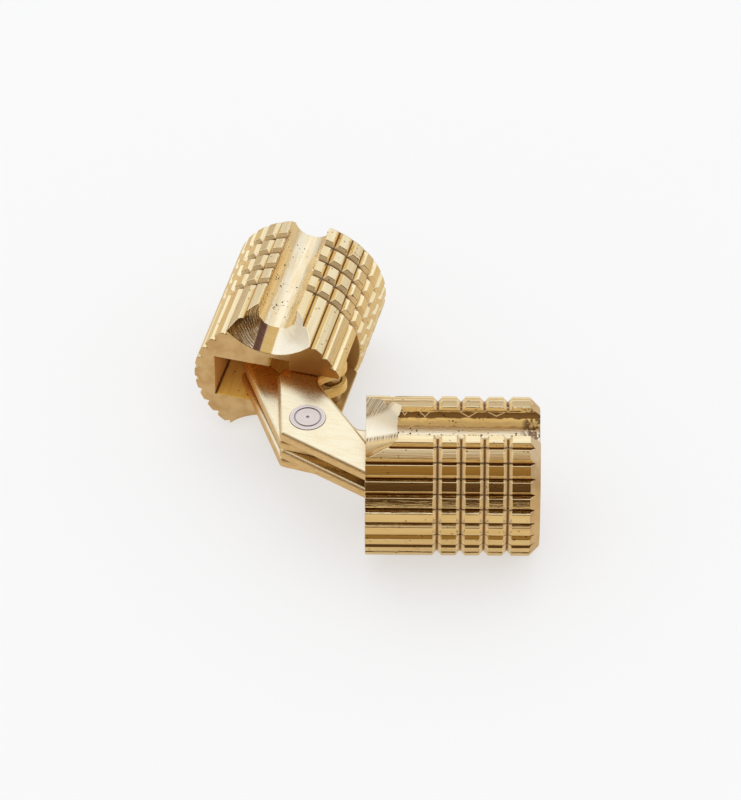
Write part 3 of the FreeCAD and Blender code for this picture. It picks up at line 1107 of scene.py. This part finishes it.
@dataclass
class Barrel:
    """One barrel with its tool marks, in its own millimetres: axis along +Y from the front face."""

    half: Half
    fold: Fold
    radius: float = 7.0
    length: float = 15.3
    groove_radius: float = 1.75
    groove_centre: float = 6.25
    sink_reach: float = 4.3
    sink_floor: float = 4.8
    sink_tilt: float = math.radians(33.0)
    slot_half: float = 2.3
    mouth: float = 6.4
    chamfer: float = 0.95
    inside: float = 6.45
    touch: float = 0.03
    square: float = 0.99
    slanted: float = 0.5
    edge_mm: float = 0.055
    burr_mm: float = 0.27
    burr_start: float = 4.6
    burr_end: float = 14.2
    burr_count: int = 46
    burr_sunk: float = 0.05
    burr_gap: float = 0.03
    burr_lean: float = 0.6
    burr_loss: float = 0.45

    @property
    def body(self) -> str:
        """Name of the barrel's body, which is also its node."""
        return "barrel_" + self.half.value

    @property
    def chatter_side(self) -> float:
        """How far across the countersink the ridges of the cutter reach: less far on barrel B."""
        return -1.5 if self.half is Half.A else -2.45

    @property
    def burr_seed(self) -> int:
        """Seed of the torn flakes, which differ from barrel to barrel."""
        return 5 if self.half is Half.A else 25

    def skin(self, middle: Vector, normal: Vector) -> Skin:
        """Kind of surface of a face.

        Args:
            middle: middle of the face, in the barrel's millimetres.
            normal: its normal, in the barrel's directions.

        Returns:
            The kind of surface.
        """
        at_end = middle.y < self.touch or middle.y > self.length - self.touch
        if abs(normal.y) > self.square and at_end:
            return Skin.FACED
        if normal.y > self.slanted and middle.y > self.length - self.chamfer:
            return Skin.CHAMFER
        if abs(abs(middle.z) - self.slot_half) < self.touch and abs(normal.z) > self.square:
            return Skin.SLOT
        if abs(middle.y - self.mouth) < self.touch and normal.y < -self.square:
            return Skin.SLOT
        sign = 1.0 if middle.z > 0 else -1.0
        across, height = middle.x * sign, middle.z * sign
        to_groove = math.hypot(across, height - self.groove_centre)
        if abs(to_groove - self.groove_radius) < self.touch and height < self.groove_centre + self.touch:
            return Skin.MILLED
        if abs(abs(across) - self.groove_radius) < self.touch and height > self.groove_centre - self.touch:
            return Skin.MILLED
        way = Vector((across, middle.y - self.sink_reach, height - self.sink_floor))
        along = way.z * math.sin(self.sink_tilt) - way.y * math.cos(self.sink_tilt)
        away = math.sqrt(max(way.length_squared - along * along, 0.0))
        if along > 0 and abs(away - along) < 2 * self.touch:
            return Skin.SUNK
        if math.hypot(middle.x, middle.z) < self.inside:
            return Skin.SLOT
        return Skin.RIDGED

    def build(self, source: bpy.types.Object, finishes: Finishes, chatter: ChatterTree,
              burrs: BurrTree) -> list[bpy.types.Object]:
        """Build the barrel and its tool marks.

        Args:
            source: the solid's object.
            finishes: the hinge's finishes.
            chatter: tree of the countersink's ridges.
            burrs: tree of the groove's torn flakes.

        Returns:
            The new pieces.
        """
        placing = self.fold.placing(self.half)
        to_local = placing.inverted()
        turn = to_local.to_quaternion()

        def sort(middle: Vector, normal: Vector) -> int:
            """Material index of a face."""
            return self.skin(to_local @ middle, turn @ normal).value

        skins = [finishes.ridged, finishes.faced, finishes.sunk[self.half], finishes.milled[self.half],
                 finishes.slot, finishes.faced]
        copy = SolidCopy(self.edge_mm, flat_kinds=(Skin.FACED.value,))
        piece = copy.make(source, self.body + "_turned", skins, sort)
        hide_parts(self.body)
        marks = new_piece(self.body + "_marks", self._marks(finishes, chatter, burrs))
        marks.data.transform(placing)
        for item in (piece, marks):
            add_places(item.data, to_local)
            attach(item, self.body)
        return [piece, marks]

    def _marks(self, finishes: Finishes, chatter: ChatterTree, burrs: BurrTree) -> bpy.types.Mesh:
        """Tool marks of the upper and lower grooves as one mesh, in the barrel's millimetres."""
        rim = math.sqrt(self.radius ** 2 - self.groove_radius ** 2) - self.burr_sunk
        flakes = []
        for side in (-1.0, 1.0):
            across = side * (self.groove_radius + self.burr_gap)
            flakes.append(burrs.grow(
                "flakes", start=(across, self.burr_start, rim), end=(across, self.burr_end, rim),
                count=self.burr_count, size=self.burr_mm, lean=-side * self.burr_lean, loss=self.burr_loss,
                seed=self.burr_seed + int(side), material=finishes.milled[Half.A]))
        ridges = chatter.grow(
            "ridges", barrel_radius=self.radius, reach=self.sink_reach, floor=self.sink_floor,
            groove_radius=self.groove_radius, groove_centre=self.groove_centre, side=self.chatter_side,
            material=finishes.scraped)
        work = bmesh.new()
        for mesh in [*flakes, ridges]:
            for turn in (0.0, math.pi):
                turned = mesh.copy()
                turned.transform(Matrix.Rotation(turn, 4, "Y"))
                before = len(work.faces)
                work.from_mesh(turned)
                work.faces.ensure_lookup_table()
                for face in work.faces[before:]:
                    face.material_index = int(mesh is ridges)
                bpy.data.meshes.remove(turned)
        joined = bpy.data.meshes.new("marks")
        work.to_mesh(joined)
        work.free()
        joined.materials.append(finishes.milled[Half.A])
        joined.materials.append(finishes.scraped)
        return joined


@dataclass(frozen=True)
class LinkPlate:
    """One hooked plate, punched from sheet: rounded upper edges and sheared sides."""

    number: int
    body: str
    edge_mm: float = 0.42
    hole_share: float = 0.14
    under_share: float = 0.4
    rivet: Point = RIVET
    hole_reach: float = 1.75
    face_slope: float = 0.7

    def build(self, source: bpy.types.Object, finishes: Finishes) -> bpy.types.Object:
        """Build the plate.

        Args:
            source: the solid's object.
            finishes: the hinge's finishes.

        Returns:
            The new piece.
        """

        def sort(middle: Vector, normal: Vector) -> int:
            """Material index of a face."""
            return (Cut.ROLLED if abs(normal.z) > self.face_slope else Cut.SHEARED).value

        heights = [corner[2] for corner in source.bound_box]
        halfway = (min(heights) + max(heights)) / 2

        def ease(middle: Vector) -> float:
            """Share of the rounding that an edge gets: little at the rivet, less below than above."""
            away = (middle.xy / MM - Vector(self.rivet).xy).length
            if away < self.hole_reach:
                return self.hole_share
            return 1.0 if middle.z > halfway else self.under_share

        node = f"link_plate_{self.number}"
        piece = SolidCopy(self.edge_mm, segments=4).make(
            source, f"plate_{self.number}_punched", [finishes.rolled, finishes.sheared], sort, ease)
        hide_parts(node)
        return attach(piece, self.body)


@dataclass(frozen=True)
class SteelPiece:
    """The rivet or a pivot pin."""

    node: str
    body: str
    edge_mm: float = 0.015

    def build(self, source: bpy.types.Object, finishes: Finishes) -> bpy.types.Object:
        """Build the piece from its solid."""
        piece = SolidCopy(self.edge_mm).make(
            source, self.node + "_turned", [finishes.steel], lambda middle, normal: 0)
        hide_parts(self.node)
        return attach(piece, self.body)


@dataclass(frozen=True)
class Studio:
    """Pale floor, soft light and the photograph's camera. Places in millimetres, in the row frame."""

    target: Point = (9.24, 0.49, 0.0)
    forward: Point = (-0.1840, 0.6917, -0.6984)
    distance: float = 500.0
    focal_px: float = 5595.0
    image_height: float = 800.0
    sensor: float = 36.0
    nearest: float = 10.0
    floor_z: float = -6.79
    floor_side: float = 4000.0
    floor_tone: float = 0.96
    floor_glow: float = 0.55
    floor_mirrored: Colour = (0.80, 0.69, 0.51)
    floor_rough: float = 0.9
    white: float = 0.95
    even: Colour = (0.955, 0.955, 0.96)
    dark: Colour = (0.085, 0.045, 0.018)
    middle: Colour = (0.36, 0.22, 0.07)
    bright: Colour = (1.0, 1.09, 1.29)
    behind: Colour = (0.68, 0.64, 0.62)
    lamp_power: float = 0.25
    low_climb: Band = (math.radians(25.0), math.radians(60.0))
    high_climb: Band = (math.radians(60.0), math.radians(100.0))
    back_climb: Band = (math.radians(138.0), math.radians(172.0))
    lamp_side: float = 700.0
    lamp_place: Point = (-120.0, 330.0, 620.0)

    def set_camera(self) -> None:
        """Add the camera."""
        camera = bpy.data.cameras.new("camera")
        camera.sensor_fit = "VERTICAL"
        camera.sensor_height = self.sensor
        camera.lens = self.focal_px * self.sensor / self.image_height
        camera.clip_start = self.nearest * MM
        holder = bpy.data.objects.new("camera", camera)
        ahead = Vector(self.forward).normalized()
        holder.location = (Vector(self.target) - ahead * self.distance) * MM
        holder.rotation_euler = ahead.to_track_quat("-Z", "Y").to_euler()
        bpy.context.scene.collection.objects.link(holder)
        bpy.context.scene.camera = holder

    def lay_floor(self) -> None:
        """Add the pale floor."""
        mesh = bpy.data.meshes.new("floor")
        half = self.floor_side / 2 * MM
        level = self.floor_z * MM
        corners = [(-half, -half, level), (half, -half, level), (half, half, level), (-half, half, level)]
        mesh.from_pydata(corners, [], [(0, 1, 2, 3)])
        material = bpy.data.materials.new("pale_floor")
        material.use_nodes = True
        shader = material.node_tree.nodes["Principled BSDF"]
        book = NodeBook(material.node_tree)
        mirrored = book.add("ShaderNodeLightPath").outputs["Is Glossy Ray"]
        lit = 1.0 - self.floor_glow
        seen = (self.floor_tone,) * 3
        for label, share in (("Base Color", lit), ("Emission Color", 1.0)):
            tones = [tuple(tone * share for tone in colour) for colour in (seen, self.floor_mirrored)]
            book.feed(shader.inputs[label], book.mix(mirrored, *tones))
        shader.inputs["Emission Strength"].default_value = self.floor_glow
        shader.inputs["Roughness"].default_value = self.floor_rough
        shader.inputs["Specular IOR Level"].default_value = 0.0
        mesh.materials.append(material)
        new_piece("floor", mesh)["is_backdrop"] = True

    def set_world(self) -> None:
        """Add the room: it lights evenly; mirrored, it is pale above and behind and dark low in front."""
        world = bpy.data.worlds.new("room")
        world.use_nodes = True
        book = NodeBook(world.node_tree)
        world.node_tree.nodes.clear()
        way = book.add("ShaderNodeTexCoord").outputs["Generated"]
        flat = Vector((-self.forward[0], -self.forward[1], 0.0)).normalized()
        front = book.vector("DOT_PRODUCT", way, tuple(flat), output="Value")
        climb = book.math("ARCTAN2", book.split(way)[2], front)
        low = book.mix(book.spread(climb, *self.low_climb, 0.0, 1.0), self.dark, self.middle)
        room = book.mix(book.spread(climb, *self.high_climb, 0.0, 1.0), low, self.bright)
        room = book.mix(book.spread(climb, *self.back_climb, 0.0, 1.0), room, self.behind)
        rays = book.add("ShaderNodeLightPath").outputs
        lit = book.mix(rays["Is Glossy Ray"], self.even, room)
        sky = book.add("ShaderNodeBackground")
        book.feed(sky.inputs["Color"], book.mix(rays["Is Camera Ray"], lit, (self.white,) * 3))
        sky.inputs["Strength"].default_value = 1.0
        out = book.add("ShaderNodeOutputWorld")
        book.feed(out.inputs["Surface"], sky.outputs["Background"])
        bpy.context.scene.world = world

    def hang_lamp(self) -> None:
        """Add the soft lamp above and behind."""
        lamp = bpy.data.lights.new("soft lamp", "AREA")
        lamp.shape = "SQUARE"
        lamp.size = self.lamp_side * MM
        lamp.energy = self.lamp_power
        holder = bpy.data.objects.new("soft lamp", lamp)
        holder.location = Vector(self.lamp_place) * MM
        aim = Vector(self.target) * MM - holder.location
        holder.rotation_euler = aim.to_track_quat("-Z", "Y").to_euler()
        bpy.context.scene.collection.objects.link(holder)

    def build(self) -> None:
        """Set the whole stage."""
        bpy.context.scene.view_settings.view_transform = "Standard"
        self.set_camera()
        self.lay_floor()
        self.set_world()
        self.hang_lamp()


def clear_scene() -> None:
    """Take away what Blender starts with."""
    for item in list(bpy.data.objects):
        bpy.data.objects.remove(item)


def write_sizes(before: object) -> None:
    """Put the solids' box and the dressed model's box into plain lists."""
    boxes = {"cad": before, "visual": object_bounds()}
    plain = {name: [[float(value) for value in corner] for corner in box] for name, box in boxes.items()}


def main() -> None:
    """Build the hinge around its frame."""
    logging.basicConfig(level=logging.INFO, format="%(message)s")
    clear_scene()
    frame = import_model()
    nodes = frame["nodes"]
    solids_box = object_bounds()
    Studio().build()
    finishes = Finishes()
    fold = Fold()
    chatter, burrs = ChatterTree(), BurrTree()
    pieces: list[bpy.types.Object] = []
    for half in Half:
        barrel = Barrel(half, fold)
        pieces += barrel.build(nodes[barrel.body], finishes, chatter, burrs)
    for number, body in ((1, "links_a"), (2, "links_b"), (3, "links_a"), (4, "links_b")):
        pieces.append(LinkPlate(number, body).build(nodes[f"link_plate_{number}"], finishes))
    steel = (("centre_rivet", "links_a"), ("pivot_pin_a", "barrel_a"), ("pivot_pin_b", "barrel_b"))
    for node, body in steel:
        pieces.append(SteelPiece(node, body).build(nodes[node], finishes))
    for piece in pieces:
        piece.data.calc_loop_triangles()
        LOG.info("%s: %d triangles", piece.name, len(piece.data.loop_triangles))
    write_sizes(solids_box)


if __name__ == "__main__":
    main()
